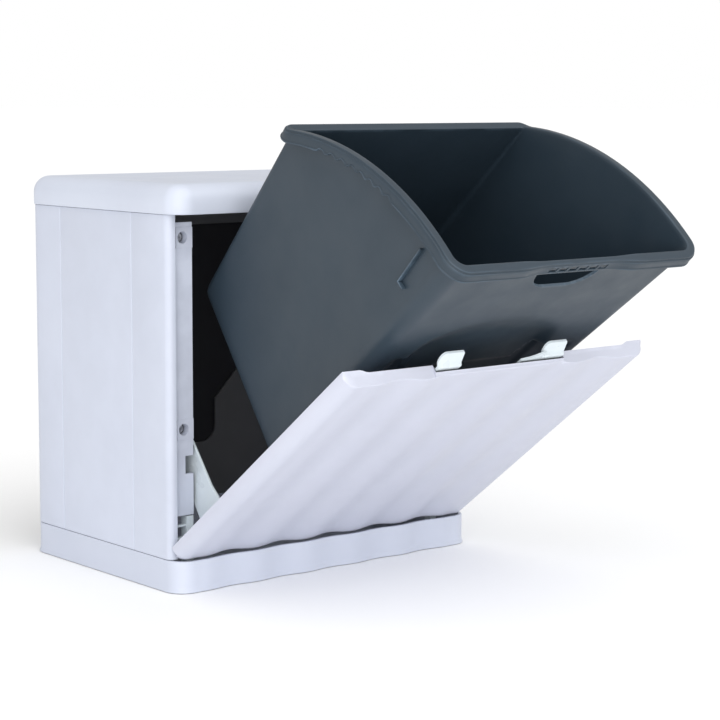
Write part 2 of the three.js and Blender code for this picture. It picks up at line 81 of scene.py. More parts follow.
baseLow, baseHigh = boxOf("base")
coverLow, coverHigh = boxOf("cover")
joints = {joint["name"]: joint for joint in frame["joints"]}
hinge = Vector(joints["door_tilt"]["pos_m"]) / metre
openAngle = -math.radians(joints["door_tilt"]["range_deg"][0])
binRaise = -joints["bin_lift"]["range_m"][0] / metre
frontPlane = baseLow.y
backPlane = baseHigh.y
halfWidth = baseHigh.x
toHinge = Matrix.Translation(hinge)
tilted = toHinge @ Matrix.Rotation(openAngle, 4, "X") @ toHinge.inverted()
lifted = tilted @ Matrix.Translation((0, 0, binRaise))
upright = Matrix.Identity(4)


# a placing in millimetres, for a mesh that is already in metres
def inMetres(place):
    return Matrix.Scale(metre, 4) @ place @ Matrix.Scale(1 / metre, 4)


# materials
# colour and deep are the two tones of the flow marks; the last share is how much of the colour is left in
# tight crevices, where shade is painted in; edge and edgeAdd make sharp edges paler, partly as wear and
# partly as a painted highlight
plastics = {
    "shell": {
        "slot": "shell_plastic", "colour": (0.585, 0.62, 0.72), "deep": (0.55, 0.585, 0.685),
        "rough": 0.42, "grain": 0.05, "edge": 1.08, "edgeAdd": 0.0, "paintedShade": 0.12,
    },
    "cover": {
        "slot": "cover_plastic", "colour": (0.61, 0.65, 0.745), "deep": (0.575, 0.61, 0.705),
        "rough": 0.38, "grain": 0.05, "edge": 1.08, "edgeAdd": 0.0, "paintedShade": 0.12,
    },
    "door": {
        "slot": "door_plastic", "colour": (0.585, 0.605, 0.70), "deep": (0.55, 0.57, 0.665),
        "rough": 0.36, "grain": 0.035, "edge": 1.08, "edgeAdd": 0.0, "paintedShade": 0.12,
    },
    "clip": {
        "slot": "clip_plastic", "colour": (0.70, 0.77, 0.81), "deep": (0.66, 0.73, 0.78),
        "rough": 0.3, "grain": 0.02, "edge": 1.08, "edgeAdd": 0.0, "paintedShade": 0.12,
    },
    "bin": {
        "slot": "bin_plastic", "colour": (0.027, 0.044, 0.062), "deep": (0.022, 0.037, 0.053),
        # the bin's strong edge values paint a bright highlight line along its sharp edges, such as the
        # skirt's lower edge
        "rough": 0.44, "grain": 0.12, "edge": 2.6, "edgeAdd": 0.02, "paintedShade": 0.3,
    },
    # the back frame's colour is the shell plastic darkened about four times: painted shade for the shadowed
    # back wall
    "shadedBack": {
        "slot": "shell_plastic", "colour": (0.165, 0.165, 0.168), "deep": (0.14, 0.14, 0.143),
        "rough": 0.5, "grain": 0.08, "edge": 1.08, "edgeAdd": 0.0, "paintedShade": 0.12,
    },
    "rear": {
        "slot": "rear_plastic", "colour": (0.02, 0.02, 0.023), "deep": (0.014, 0.014, 0.017),
        "rough": 0.6, "grain": 0.1, "edge": 1.08, "edgeAdd": 0.0, "paintedShade": 0.12,
    },
}
# how often each kind of mark comes along a metre, and how far the shade painted into crevices reaches
mouldMarks = {"flow": 9.0, "cloud": 34.0, "orangePeel": 210.0, "spark": 1500.0, "shadeReach": 0.007}


def node(tree, kind, settings=None, inputs=None):
    made = tree.nodes.new(kind)
    for key, value in (settings or {}).items():
        setattr(made, key, value)
    for key, value in (inputs or {}).items():
        if isinstance(value, bpy.types.NodeSocket):
            tree.links.new(value, made.inputs[key])
        else:
            made.inputs[key].default_value = value
    return made


def mixColour(tree, share, first, second):
    mix = node(tree, "ShaderNodeMix", {"data_type": "RGBA"}, {0: share, 6: first, 7: second})
    return mix.outputs[2]


def spread(tree, value, low, high, toLow, toHigh):
    made = node(tree, "ShaderNodeMapRange", None, {0: value, 1: low, 2: high, 3: toLow, 4: toHigh})
    return made.outputs[0]


def noise(tree, place, scale, detail=3.0, rough=0.5):
    settings = {"Vector": place, "Scale": scale, "Detail": detail, "Roughness": rough}
    return node(tree, "ShaderNodeTexNoise", None, settings).outputs["Fac"]


# moulded plastic: spark-eroded grain, soft flow marks, handling polish, paler edges that are partly wear
# and partly a painted highlight, and painted shade darkening crevices and recesses
def mouldedPlastic(name, s):
    material = bpy.data.materials.new(name)
    material.use_nodes = True
    tree = material.node_tree
    shader = tree.nodes["Principled BSDF"]
    place = node(tree, "ShaderNodeTexCoord").outputs["Object"]
    flow = noise(tree, place, mouldMarks["flow"], 4.0, 0.55)
    cloud = noise(tree, place, mouldMarks["cloud"], 3.0)
    grain = noise(tree, place, mouldMarks["spark"], 2.0, 0.6)
    orangePeel = noise(tree, place, mouldMarks["orangePeel"], 2.0)
    # paler sharp edges, broken up by cloud: partly worn plastic, partly a painted highlight
    edge = node(tree, "ShaderNodeNewGeometry").outputs["Pointiness"]
    edgeMask = spread(tree, edge, 0.52, 0.60, 0.0, 1.0)
    breakUp = spread(tree, cloud, 0.40, 0.62, 0.0, 1.0)
    wearAndHighlight = node(tree, "ShaderNodeMath", {"operation": "MULTIPLY"}, {0: edgeMask, 1: breakUp}).outputs[0]
    tone = mixColour(tree, spread(tree, flow, 0.3, 0.7, 0.0, 1.0), (*s["colour"], 1), (*s["deep"], 1))
    pale = tuple(min(1.0, c * s["edge"] + s["edgeAdd"]) for c in s["colour"])
    colour = mixColour(tree, wearAndHighlight, tone, (*pale, 1))
    # painted shade: an occlusion mask darkens the colour towards the last share in crevices, recesses and
    # where parts sit close
    shadeReach = {"Distance": mouldMarks["shadeReach"]}
    shadeMask = node(tree, "ShaderNodeAmbientOcclusion", {"samples": 6}, shadeReach).outputs["AO"]
    paintedShade = tuple(s["paintedShade"] * c for c in s["deep"])
    colour = mixColour(tree, spread(tree, shadeMask, 0.12, 0.42, 0.0, 1.0), (*paintedShade, 1), colour)
    tree.links.new(colour, shader.inputs["Base Color"])
    ease = spread(tree, cloud, 0.3, 0.7, s["rough"] - 0.05, s["rough"] + 0.07)
    tree.links.new(ease, shader.inputs["Roughness"])
    soft = node(tree, "ShaderNodeBump", None, {"Strength": 0.08, "Distance": 0.0004, "Height": orangePeel})
    fine = {"Strength": s["grain"] * 3, "Distance": 0.0001, "Height": grain, "Normal": soft.outputs[0]}
    tree.links.new(node(tree, "ShaderNodeBump", None, fine).outputs[0], shader.inputs["Normal"])
    shader.inputs["IOR"].default_value = 1.49
    return material


# zinc plated steel with turning marks and dull patches
def platedSteel():
    material = bpy.data.materials.new("plated steel")
    material.use_nodes = True
    tree = material.node_tree
    shader = tree.nodes["Principled BSDF"]
    place = node(tree, "ShaderNodeTexCoord").outputs["Object"]
    dull = noise(tree, place, 260.0, 4.0)
    turning = {"Vector": place, "Scale": 900.0, "Distortion": 1.5}
    rings = node(tree, "ShaderNodeTexWave", {"bands_direction": "X"}, turning)
    patches = spread(tree, dull, 0.35, 0.65, 0.0, 1.0)
    shade = mixColour(tree, patches, (0.34, 0.35, 0.37, 1), (0.52, 0.53, 0.55, 1))
    tree.links.new(shade, shader.inputs["Base Color"])
    tree.links.new(spread(tree, dull, 0.3, 0.7, 0.28, 0.46), shader.inputs["Roughness"])
    bump = {"Strength": 0.15, "Distance": 0.0001, "Height": rings.outputs["Fac"]}
    tree.links.new(node(tree, "ShaderNodeBump", None, bump).outputs[0], shader.inputs["Normal"])
    shader.inputs["Metallic"].default_value = 1.0
    return material


finish = {name: mouldedPlastic(name + " plastic", s) for name, s in plastics.items()}
finish["steel"] = platedSteel()
slots = {name: s["slot"] for name, s in plastics.items()}
slots["steel"] = "screw_steel"
print("materials made")

# shared shaping


def arcPoints(cx, cy, radius, fromDegrees, toDegrees, steps):
    turns = [math.radians(fromDegrees + (toDegrees - fromDegrees) * i / steps) for i in range(steps + 1)]
    return [(cx + radius * math.cos(a), cy + radius * math.sin(a)) for a in turns]


def smoothStep(low, high, value):
    t = min(1.0, max(0.0, (value - low) / (high - low)))
    return t * t * (3 - 2 * t)


def between(first, last, steps):
    return [first + (last - first) * i / steps for i in range(steps + 1)]


# rows of equally many points become a skin of four-sided faces
def addSkin(bm, rows, wrapPoints=False, capEnds=False):
    made = [[bm.verts.new(p) for p in row] for row in rows]
    count = len(rows[0])
    lastPoint = count if wrapPoints else count - 1
    for a, b in zip(made, made[1:]):
        for i in range(lastPoint):
            j = (i + 1) % count
            bm.faces.new((a[i], a[j], b[j], b[i]))
    if capEnds:
        bm.faces.new(made[0])
        bm.faces.new(made[-1])
    return made


# an outer and an inner skin of the same layout, stitched along their four borders
def addShell(bm, outer, inner):
    a, b = addSkin(bm, outer), addSkin(bm, inner)
    for r in range(len(outer) - 1):
        for end in (0, -1):
            bm.faces.new((a[r][end], a[r + 1][end], b[r + 1][end], b[r][end]))
    for i in range(len(outer[0]) - 1):
        for end in (0, -1):
            bm.faces.new((a[end][i], a[end][i + 1], b[end][i + 1], b[end][i]))


def addBlock(bm, x, y, z):
    corners = [(x[i], y[j], z[k]) for i in (0, 1) for j in (0, 1) for k in (0, 1)]
    v = [bm.verts.new(c) for c in corners]
    for face in ((0, 1, 3, 2), (4, 6, 7, 5), (0, 4, 5, 1), (2, 3, 7, 6), (0, 2, 6, 4), (1, 5, 7, 3)):
        bm.faces.new([v[i] for i in face])


def addPrism(bm, outline, y0, y1):
    addSkin(bm, [[(x, y, z) for x, z in outline] for y in (y0, y1)], wrapPoints=True, capEnds=True)


def toObject(name, bm, place=upright):
    bmesh.ops.remove_doubles(bm, verts=bm.verts, dist=0.004)
    bmesh.ops.dissolve_degenerate(bm, dist=0.003, edges=bm.edges)
    bmesh.ops.recalc_face_normals(bm, faces=bm.faces)
    bm.transform(Matrix.Scale(metre, 4) @ place)
    mesh = bpy.data.meshes.new(name)
    bm.to_mesh(mesh)
    bm.free()
    made = bpy.data.objects.new(name, mesh)
    bpy.context.scene.collection.objects.link(made)
    return made


# cuts the closed solids in cutters out of a piece, then drops them
def carve(piece, cutters):
    for cutter in cutters:
        cut = piece.modifiers.new("cut", "BOOLEAN")
        cut.object = cutter
        cut.solver = "EXACT"
    graph = bpy.context.evaluated_depsgraph_get()
    mesh = bpy.data.meshes.new_from_object(piece.evaluated_get(graph))
    piece.modifiers.clear()
    piece.data = mesh
    for cutter in cutters:
        bpy.data.objects.remove(cutter)


def roundEdges(piece, width, segments, angle=32):
    bevel = piece.modifiers.new("round", "BEVEL")
    bevel.width = width * metre
    bevel.segments = segments
    bevel.limit_method = "ANGLE"
    bevel.angle_limit = math.radians(angle)
    bevel.harden_normals = True
    bevel.use_clamp_overlap = True


def dress(piece, kind, body, nodes, smooth=40):
    piece.data.materials.clear()
    piece.data.materials.append(finish[kind])
    for polygon in piece.data.polygons:
        polygon.use_smooth = True
    piece.data.set_sharp_from_angle(angle=math.radians(smooth))
    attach(piece, body)
    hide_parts(*nodes)


# a node whose shape is right, with its flat faces joined and its edges rounded
def refined(nodeName, kind, body, width):
    bm = bmesh.new()
    bm.from_mesh(frame["nodes"][nodeName].data)
    bmesh.ops.remove_doubles(bm, verts=bm.verts, dist=0.00001)
    bmesh.ops.dissolve_limit(bm, angle_limit=math.radians(1.0), verts=bm.verts, edges=bm.edges)
    bm.transform(Matrix.Scale(1 / metre, 4))
    piece = toObject(nodeName + "_finished", bm)
    dress(piece, kind, body, [nodeName])
    roundEdges(piece, width, 3)


# cabinet outline, shared by the base and the cover
cabinetSet = {"corner": 20, "flutePitch": 60, "fluteDepth": 3}


def fluteAt(x, depth):
    return depth * (1 + math.cos(2 * math.pi * x / cabinetSet["flutePitch"])) / 2


def cabinetOutline(inset, depth, z):
    corner = cabinetSet["corner"]
    r = max(corner - inset, 0.4)
    x = halfWidth - inset
    straight = halfWidth - corner
    low, high = frontPlane + inset, backPlane - inset
    points = [(x, y) for y in between(low + r, high - r, 8)[1:-1]]
    points += arcPoints(x - r, high - r, r, 0, 90, 10)
    points += [(px, high) for px in between(straight, -straight, 80)[1:-1]]
    points += arcPoints(r - x, high - r, r, 90, 180, 10)
    points += [(-x, y) for y in between(high - r, low + r, 8)[1:-1]]
    points += arcPoints(r - x, low + r, r, 180, 270, 10)
    for px in between(-straight, straight, 130)[1:-1]:
        fade = smoothStep(0, cabinetSet["flutePitch"] / 5, straight - abs(px))
        points.append((px, low + fade * fluteAt(px, depth)))
    points += arcPoints(x - r, low + r, r, 270, 360, 10)
    return [(px, py, z) for px, py in points]


# base
baseSet = {"flare": 1.2, "flareHeight": 5, "wall": 5, "floor": 5, "lip": 0.9, "cove": 3}


def makeBase(s):
    top = baseHigh.z
    f, w, lip, cove = s["flare"], s["wall"], s["lip"], s["cove"]
    steps = [(0.5, 0), (0, 0.5), (0.1, 1.5), (f * 0.45, s["flareHeight"] * 0.55)]
    steps += [(f * 0.85, s["flareHeight"] * 0.85), (f, s["flareHeight"] + 1), (f, top - lip)]
    steps += [(f + lip * (1 - math.cos(a)), top - lip + lip * math.sin(a)) for a in (0.5, 1.05, 1.57)]
    steps += [(w - 0.5, top), (w, top - 0.5), (w, s["floor"] + cove)]
    steps += [(w + cove * 0.3, s["floor"] + cove * 0.3), (w + cove, s["floor"])]
    bm = bmesh.new()
    rows = [cabinetOutline(inset, cabinetSet["fluteDepth"], z) for inset, z in steps]
    addSkin(bm, rows, wrapPoints=True, capEnds=True)
    dress(toObject("base_tray", bm), "shell", "cabinet", ["base"])


makeBase(baseSet)

# cover
coverSet = {"edge": 16, "wall": 4, "topWave": 1.1, "waveFade": 26, "rings": 26}


def makeCover(s):
    low, top, edge, wall = coverLow.z, coverHigh.z, s["edge"], s["wall"]
    bm = bmesh.new()
    rows = []
    rim = cabinetOutline(edge, 0, top)
    for share in between(1 / s["rings"], 1, s["rings"] - 1):
        row = []
        for x, y, z in rim:
            px, py = x * share, y * share
            reach = min(halfWidth - edge - abs(px), backPlane - edge - abs(py))
            sink = s["topWave"] - fluteAt(px, s["topWave"])
            row.append((px, py, z - sink * smoothStep(-1, s["waveFade"], reach)))
        rows.append(row)
    for degrees in range(82, -1, -8):
        a = math.radians(degrees)
        rows.append(cabinetOutline(edge * (1 - math.cos(a)), 0, top - edge + edge * math.sin(a)))
    steps = [(0, low + 0.6), (0.2, low + 0.2), (0.6, low)]
    steps += [(wall - 0.5, low), (wall, low + 0.5), (wall, top - edge)]
    inner = edge - wall
    for degrees in (25, 50, 75, 90):
        a = math.radians(degrees)
        steps.append((wall + inner * (1 - math.cos(a)), top - edge + inner * math.sin(a)))
    rows += [cabinetOutline(inset, 0, z) for inset, z in steps]
    addSkin(bm, rows, wrapPoints=True, capEnds=True)
    dress(toObject("top_cover", bm), "cover", "cabinet", ["cover"])


makeCover(coverSet)
print("base and cover made")

# the cabinet's flat mouldings, posts, brackets, screws and back
cabinetMouldings = {
    "side_panel": {"kind": "shell", "edge": 0.6},
    "front_post": {"kind": "shell", "edge": 0.5},
    "hinge_bracket": {"kind": "clip", "edge": 0.4},
    "lower_screw": {"kind": "steel", "edge": 0.25},
    "upper_screw": {"kind": "steel", "edge": 0.25},
}
backSet = {"frameEdge": 0.8, "sheetEdge": 0.5}
for name, s in cabinetMouldings.items():
    for side in ("left", "right"):
        refined(name + "_" + side, s["kind"], "cabinet", s["edge"])
# the back frame gets the darkened shell plastic, which paints its shade
refined("back_frame", "shadedBack", "cabinet", backSet["frameEdge"])
refined("rear_sheet", "rear", "cabinet", backSet["sheetEdge"])
print("cabinet mouldings made")

# door
doorSet = {
    "wall": 3, "roll": 13, "depth": 14.5, "footRadius": 9.2, "headGap": 1.5, "headEdge": 1.1,
    "lug": 23, "lugSlope": 9, "cutback": 3.0, "headFall": 3.0,  # the flange at the head
    "pullFrom": -82, "pullTo": 73, "dish": 0.5, "dishDepth": 13, "calm": 34,  # the finger pull
    "flutedSteps": 112, "rollStep": 9, "edge": 0.45,
}
# what the foot gives way to at each end, as spans in x, y and z: the hinge eye and the side panel
footCuts = {
    "eye": ((147.5, 158.5), (-124.1, -100), (29, 49)),
    "panel": ((171.8, 190), (-121.8, -100), (28, 37.6)),
}
doorHalf = boxOf("door_panel")[1].x
doorBack = frontPlane + doorSet["depth"]
doorFoot = hinge.z - doorSet["footRadius"]
doorHead = coverLow.z - doorSet["headGap"]


# x and the front surface's y; roll stations carry an angle, flat ones a place
def doorStation(station, inset):
    kind, value = station
    edge = doorHalf - doorSet["roll"]
    roll = doorSet["roll"] - inset
    if kind == "flat":
        fade = smoothStep(0, cabinetSet["flutePitch"] / 3, edge - abs(value))
        return value, frontPlane + inset + fade * fluteAt(value, cabinetSet["fluteDepth"])
    side = 1 if value > 0 else -1
    a = math.radians(abs(value))
    return side * (edge + roll * math.sin(a)), frontPlane + inset + roll * (1 - math.cos(a))


def flangeBack(x):
    s = doorSet
    lugStart = doorHalf - s["lug"]
    cut = s["cutback"] * smoothStep(0, s["lugSlope"], lugStart + s["lugSlope"] / 2 - abs(x))
    return doorBack - cut


def dishAt(x, below):
    s = doorSet
    middle, half = (s["pullFrom"] + s["pullTo"]) / 2, (s["pullTo"] - s["pullFrom"]) / 2
    reach = 1 - ((x - middle) / half) ** 2
    if reach <= 0.02:
        return 0
    return s["dish"] * smoothStep(0, 1, 1 - below / (s["dishDepth"] * reach))


# the waves die out towards the finger pull
def calmAt(station, below, wave):
    s = doorSet
    kind, x = station
    if kind == "roll":
        return 0
    inside = smoothStep(0, 20, min(x - s["pullFrom"], s["pullTo"] - x))
    return (cabinetSet["fluteDepth"] / 2 - wave) * inside * (1 - smoothStep(0, s["calm"], below))


def doorRow(station, inset):
    s = doorSet
    x, y = doorStation(station, inset)
    head, foot = doorHead - inset, doorFoot + inset
    wave = y - frontPlane - inset
    top = y + calmAt(station, 0, wave)
    inPull = station[0] == "flat" and s["pullFrom"] <= station[1] <= s["pullTo"]
    skinEdge = frontPlane + s["wall"] + cabinetSet["fluteDepth"] / 2
    backEdge = max(skinEdge if inPull else flangeBack(x), top + 0.02)
    fall = s["headFall"] * smoothStep(0, 6, backEdge - top)
    soft = s["headEdge"] if inset == 0 else 0.02
    soft = min(soft, (backEdge - top) * 0.6)
    row = [(x, backEdge + (top + soft - backEdge) * t, head - fall * t) for t in (0, 0.25, 0.5, 0.75, 1)]
    for degrees in (15, 30, 45, 60, 75):
        a = math.radians(degrees)
        row.append((x, top + soft - soft * math.sin(a), head - fall - soft + soft * math.cos(a)))
    for below in (soft, 2.5, 4, 5.5, 7, 8.5, 10, 12, 14, 17, 22, 30, 50, 80, 120, 160, 200, 240, 270):
        sunk = below + fall * (1 - smoothStep(0, s["calm"], below))
        row.append((x, y + dishAt(x, below) + calmAt(station, below, wave), head - sunk))
    r = s["footRadius"] - inset
    squeeze = min(1, (doorBack - 0.5 - y) / r)
    for ay, az in arcPoints(0, 0, r, 180, 270, 10):
        row.append((x, y + (ay + r) * squeeze, foot + r + az))
    row += [(x, y + r * squeeze + (doorBack - y - r * squeeze) * t, foot) for t in (0.5, 1)]
    return row


def doorClosing(row):
    return [(x, doorBack, z) for x, _, z in row]


def makeDoor(s):
    edge = doorHalf - s["roll"]
    pullEnds = {s["pullFrom"] - 0.05, s["pullFrom"], s["pullTo"], s["pullTo"] + 0.05}
    flats = sorted(set(between(-edge, edge, s["flutedSteps"])) | pullEnds)
    stations = [("roll", -a) for a in range(90, 0, -s["rollStep"])]
    stations += [("flat", x) for x in flats]
    stations += [("roll", a) for a in range(s["rollStep"], 91, s["rollStep"])]
    skins = []
    for inset in (0, s["wall"]):
        rows = [doorRow(station, inset) for station in stations]
        skins.append([doorClosing(rows[0]), *rows, doorClosing(rows[-1])])
    bm = bmesh.new()
    addShell(bm, skins[0], skins[1])
    door = toObject("fluted_door", bm)
    cutters = []
    for side in (-1, 1):
        for x, y, z in footCuts.values():
            cutter = bmesh.new()
            addBlock(cutter, [side * x[0], side * x[1]], y, z)
            cutters.append(toObject("cutter", cutter))
    carve(door, cutters)
    door.data.transform(inMetres(tilted))
    dress(door, "door", "door", ["door_panel"])
    roundEdges(door, s["edge"], 2, 50)


makeDoor(doorSet)
print("door made")

doorMouldings = {
    "door_cheek": {"kind": "clip", "edge": 0.7},
    "hinge_pin": {"kind": "steel", "edge": 0.4},
}
for name, s in doorMouldings.items():
    for side in ("left", "right"):
        refined(name + "_" + side, s["kind"], "door", s["edge"])

# snap tabs
tabSet = {
    "centres": {"left": -67, "right": 58}, "width": 28, "rise": 14, "thickness": 2.2, "foot": 14,
    "stepLow": 3, "stepHigh": 5.5, "stepBack": 3, "lean": 4.5, "corner": 8, "slant": 1, "gusset": 24,
    "tip": 1.2, "edge": 0.5,
}


def tabProfile(s):
    y = frontPlane + doorSet["wall"] + cabinetSet["fluteDepth"] + 0.3
    stops = [(y, -s["foot"]), (y, -8), (y, -3), (y, 0), (y, 1.5), (y, s["stepLow"])]
    for t in (0.25, 0.5, 0.75):
        h = s["stepLow"] + (s["stepHigh"] - s["stepLow"]) * t
        stops.append((y + s["stepBack"] * smoothStep(0, 1, t), h))
    for t in (0, 0.1, 0.25, 0.4, 0.55, 0.7, 0.8, 0.88, 0.94, 0.98, 1):
        stops.append((y + s["stepBack"] + s["lean"] * t, s["stepHigh"] + (s["rise"] - s["stepHigh"]) * t))
    return stops


def tabEdges(s, middle, h):
    half = s["width"] / 2
    over = max(0, h - (s["rise"] - s["corner"]))
    left = middle - half + s["corner"] - math.sqrt(max(0, s["corner"] ** 2 - over * over))
    right = middle + half - s["slant"] * (1 - max(0, h) / s["rise"])
    tip = max(0, h - (s["rise"] - s["tip"]))
    return left, right - tip * 0.8


def makeTab(s, side):
    middle = s["centres"][side]
    skins = ([], [])
    for y, h in tabProfile(s):
        left, right = tabEdges(s, middle, h)
        across = between(left, right, 12)
        for i, skin in enumerate(skins):
            skin.append([(x, y + i * s["thickness"], doorHead + h) for x in across])
    bm = bmesh.new()
    addShell(bm, *skins)
    if side == "right":
        left = middle - s["width"] / 2 + 0.6
        y = tabProfile(s)[0][0]
        outline = [(left, -7), (left, 10.5), (left - 2, 9.5), (left - 9, 5), (left - 14, 2.6)]
        outline += [(left - s["gusset"], 0.6), (left - s["gusset"], -7)]
        addPrism(bm, [(x, doorHead + h) for x, h in outline], y, y + s["thickness"])
    tab = toObject("snap_lip_" + side, bm, tilted)
    dress(tab, "clip", "door", ["snap_tab_" + side])
    roundEdges(tab, s["edge"], 3, 50)


for side in ("left", "right"):
    makeTab(tabSet, side)
print("door fittings made")

# bin
binSet = {
    "frontGap": 12.5, "footDepth": 189, "rake": 40, "footHeight": 10, "floorRise": 9, "footRound": 12,
    "topHalf": 141.5, "taper": 16, "wall": 2.5, "floor": 3,
    "frontFoot": 20, "frontRim": 13, "backFoot": 10, "backRim": 5,  # corner radii
    "cornerSteps": 10, "sideSteps": 140, "backSteps": 30, "frontSteps": 92, "wallSteps": 84,
}
rimSet = {
    "radius": 302.64, "overhang": 7, "wall": 2.2, "skirt": 12, "dip": 1.6, "tuck": 0.55,
    "scallops": 8, "scallopDepth": 3.0, "scallopFrom": 0.38, "scallopTo": 0.80,
    "backFall": 341,  # the height in which the back wall leans out by the rake
}
handSet = {
    "slotHalf": 37, "slotHeight": 26, "slotBelow": 22.5, "slotTight": 2.5, "slotRound": 0.9,
    "vents": 6, "ventPitch": 12, "ventSize": 9, "ventGap": 3.2, "ventHigh": 5.2, "ventSlant": 1,
    "cutFrom": -12, "cutTo": 9,
}
binFront = doorBack + binSet["frontGap"]
binTop = coverLow.z
binHeight = binTop - binSet["footHeight"]


# plan outline of the wall: (x, y, outward x, outward y); share sets the depth, reach the width
def binOutline(share, reach, inset):
    s = binSet
    half = s["topHalf"] - s["taper"] * (1 - reach) - inset
    y0 = binFront + inset
    y1 = binFront + s["footDepth"] + s["rake"] * share - inset
    rf = s["frontFoot"] + (s["frontRim"] - s["frontFoot"]) * reach - inset
    rb = s["backFoot"] + (s["backRim"] - s["backFoot"]) * reach - inset
    points = []

    def corner(cx, cy, r, start):
        for i in range(s["cornerSteps"] + 1):
            a = math.radians(start + 90 * i / s["cornerSteps"])
            points.append((cx + r * math.cos(a), cy + r * math.sin(a), math.cos(a), math.sin(a)))

    def run(first, last, steps, out):
        for i in range(1, steps):
            t = i / steps
            x, y = (a + (b - a) * t for a, b in zip(first, last))
            points.append((x, y, *out))

    run((half, y0 + rf), (half, y1 - rb), s["sideSteps"], (1, 0))
    corner(half - rb, y1 - rb, rb, 0)
    run((half - rb, y1), (rb - half, y1), s["backSteps"], (0, 1))
    corner(rb - half, y1 - rb, rb, 90)
    run((-half, y1 - rb), (-half, y0 + rf), s["sideSteps"], (-1, 0))
    corner(rf - half, y0 + rf, rf, 180)
    run((rf - half, y0), (half - rf, y0), s["frontSteps"], (0, -1))
    corner(half - rf, y0 + rf, rf, 270)
    return points


def rimHeight(y):
    return hinge.z + math.sqrt(max(0.0, rimSet["radius"] ** 2 - (y - hinge.y) ** 2))


outlineStore = {}  # every outline is used for several rows


def storedOutline(share, reach, inset):
    key = (round(share, 3), round(reach, 3), inset)
    if key not in outlineStore:
        outlineStore[key] = binOutline(*key)
    return outlineStore[key]


# share of the full height at which each wall line meets the rim's arc
def rimShares(inset):
    count = len(storedOutline(1, 1, inset))
    shares = [1.0] * count
    for _ in range(8):
        for i in range(count):
            y = storedOutline(shares[i], 1, inset)[i][1]
            shares[i] = (rimHeight(y) - binSet["footHeight"]) / binHeight
    return shares


# how far the front wall steps in: the scoop and the ledge behind the door's head
frontShape = {
    "scoopX": -12, "scoopZ": 207, "scoopHalf": 86, "scoopHigh": 50, "scoop": 6, "scoopEase": 34,
    "ledgeZ": 197, "lipZ": 168, "ledge": 7, "deepest": 9,
}


def frontDent(x, z):
    s = frontShape
    across = (x - s["scoopX"]) / s["scoopHalf"]
    arch = s["scoopZ"] + s["scoopHigh"] * math.sqrt(max(0.0, 1 - across * across))
    inside = 1 - smoothStep(0.80, 1.0, abs(across))
    scoop = s["scoop"] * smoothStep(0, s["scoopEase"], arch - z) * inside
    under = s["ledgeZ"] + (s["lipZ"] - s["ledgeZ"]) * (1 - smoothStep(0.74, 0.86, abs(across)))
    ledge = s["ledge"] * (1 - smoothStep(under - 4, under + 1, z))
    return min(scoop + ledge, s["deepest"])


def binSkin(inset):
    s = binSet
    shares = rimShares(inset)
    floorUp = s["floor"] if inset else 0
    levels = [0, 0.008, 0.018, 0.035, 0.06] + between(0.09, 0.985, s["wallSteps"]) + [1]
    rows = []
    for level in levels:
        row = []
        for i, full in enumerate(shares):
            share = level * full
            x, y, nx, ny = storedOutline(share, level, inset)[i]
            depth = share * binHeight
            foot = max(0, 1 - depth / s["footRound"])
            pull = s["footRound"] * 0.6 * foot * foot
            slope = (1 - share) * s["floorRise"] * (y - binFront) / s["footDepth"]
            z = s["footHeight"] + depth + max(0, slope) + floorUp * (1 - share)
            dent = 0
            if ny < -0.5:
                fromSide = s["topHalf"] - s["taper"] - 14 - abs(x)
                dent = frontDent(x, z) * smoothStep(0, 12, fromSide) * smoothStep(0.03, 0.12, share)
            row.append((x - nx * pull, y - ny * pull + dent, z))
        rows.append(row)
    return rows


# how far the skirt's lower edge steps up along the sides
def scallopAt(s, y):
    along = (y - binFront) / (binSet["footDepth"] + binSet["rake"])
    if not s["scallopFrom"] < along < s["scallopTo"]:
        return 0
    turns = s["scallops"] * (along - s["scallopFrom"]) / (s["scallopTo"] - s["scallopFrom"])
    return s["scallopDepth"] * (0.5 - 0.5 * math.cos(2 * math.pi * turns))


# the rim's section as (out from the wall, down from the top), from the inner edge round to the wall
def rimSection(s):
    wall, w, skirt, over = binSet["wall"], s["wall"], s["skirt"], s["overhang"]
    top = [(-wall, 1.2), (-wall + 0.4, 0.4), (-wall + 1.1, 0), (0.5, 0), (over - 2.1, 0)]
    step = [(over - 1.5, 0.15), (over - 1.2, 0.6), (over - 1.1, 1.8), (over - 0.8, 2.1)]
    face = [(over - 0.2, 2.3), (over, 2.7), (over, skirt * 0.5), (over, skirt - 2.0)]
    bead = [(over + 0.5, skirt - 1.5), (over + 0.6, skirt - 0.4), (over + 0.1, skirt)]
    inner = [(over - w + 0.3, skirt), (over - w, skirt - 0.6), (over - w, 3.4)]
    root = [(over - w - 0.6, 2.5), (0.4, w), (0, w + 0.8)]
    return top + step + face + bead + inner + root


def rimRows(s, outerTop, outline):
    section = rimSection(s)
    rows = [[] for _ in section]
    for (x, y, z), (_, _, nx, ny) in zip(outerTop, outline):
        toward = Vector((0, hinge.y - y, hinge.z - z)).normalized()
        wallDown = Vector((0, -binSet["rake"] * max(0, ny) / s["backFall"], -1)).normalized()
        down = toward.lerp(wallDown, max(0, ny)).normalized()
        out = Vector((nx, ny, 0))
        out = (out - down * out.dot(down)).normalized()
        wave = scallopAt(s, y) if abs(nx) > 0.99 else 0
        slotHalf = handSet["slotHalf"]
        ease = 1 - smoothStep(slotHalf + 2, slotHalf + 34, abs(x)) if ny < -0.9 else 0
        for row, (a, b) in zip(rows, section):
            a = a * (1 - s["tuck"] * ease) if a > 0 else a
            b = b - wave * smoothStep(s["skirt"] * 0.5, s["skirt"] - 0.5, b) + s["dip"] * ease
            row.append(tuple(Vector((x, y, z)) + out * a + down * b))
    return rows


